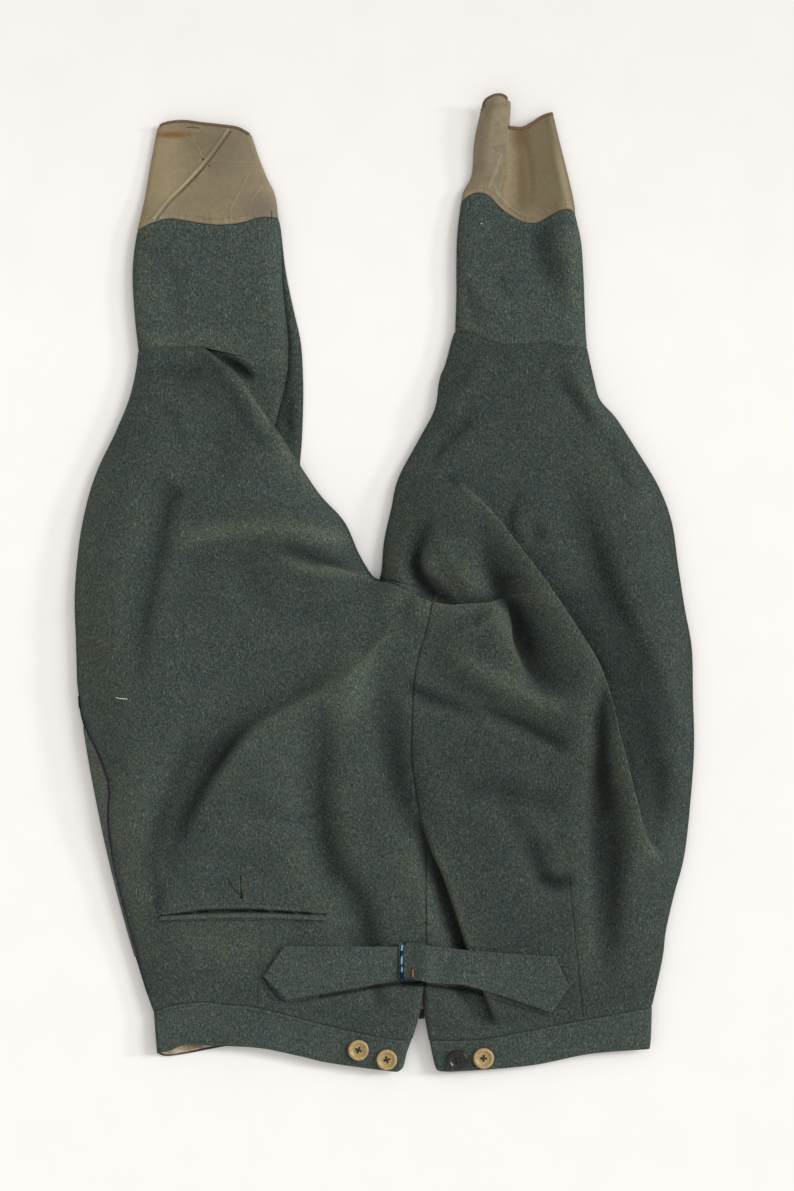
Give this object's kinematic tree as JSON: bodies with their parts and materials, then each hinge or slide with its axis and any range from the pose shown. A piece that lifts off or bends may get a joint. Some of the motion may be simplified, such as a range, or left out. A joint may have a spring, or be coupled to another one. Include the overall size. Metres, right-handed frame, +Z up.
{
  "type": "wool breeches laid flat",
  "caption": "Wool riding breeches with ballooned thighs, narrow calves and linen leg ends, laid flat with the back up, fastened at the back with a buckled cinch.",
  "frame": {"origin": "on the surface that the garment lies on, under the middle of its outline", "axes": "+Y from the waist towards the leg ends, +X towards the wearer's left leg, +Z up from the surface through the back of the garment"},
  "size_m": [0.5261, 0.8284, 0.0379],
  "materials": {
    "wool": "fulled wool twill with a short worn nap, grey green with lighter and browner flecks",
    "linen": "plain-woven khaki linen, creased and stained",
    "lining": "pale cotton lining with brown stains",
    "piping": "dark purple wool piping cord",
    "blued_steel": "blued steel wire, worn",
    "copper_prong": "copper-coloured metal, rubbed bright",
    "horn_tan": "tan corozo, turned and lightly polished",
    "horn_black": "black horn, polished"
  },
  "bodies": {
    "root": {"back_left": "wool", "back_right": "wool", "brace_button_1": "horn_tan", "brace_button_2": "horn_tan", "brace_button_3": "horn_black", "brace_button_4": "horn_tan", "buckle_frame": "blued_steel", "buckle_prong": "copper_prong", "calf_back_left": "wool", "calf_back_right": "wool", "calf_front_left": "wool", "calf_front_right": "wool", "cinch_strap_left": "wool", "cinch_strap_right": "wool", "cuff_back_left": "linen", "cuff_back_right": "linen", "cuff_front_left": "linen", "cuff_front_right": "linen", "cuff_tab_left": "linen", "front_left": "wool", "front_right": "wool", "front_right_side": "wool", "knee_fold_right": "wool", "outseam_piping": "piping", "pocket_welt": "wool", "waistband_back_left": "wool", "waistband_back_right": "wool", "waistband_front_left": "wool", "waistband_front_right": "wool", "waistband_lining": "lining"}
  },
  "joints": []
}
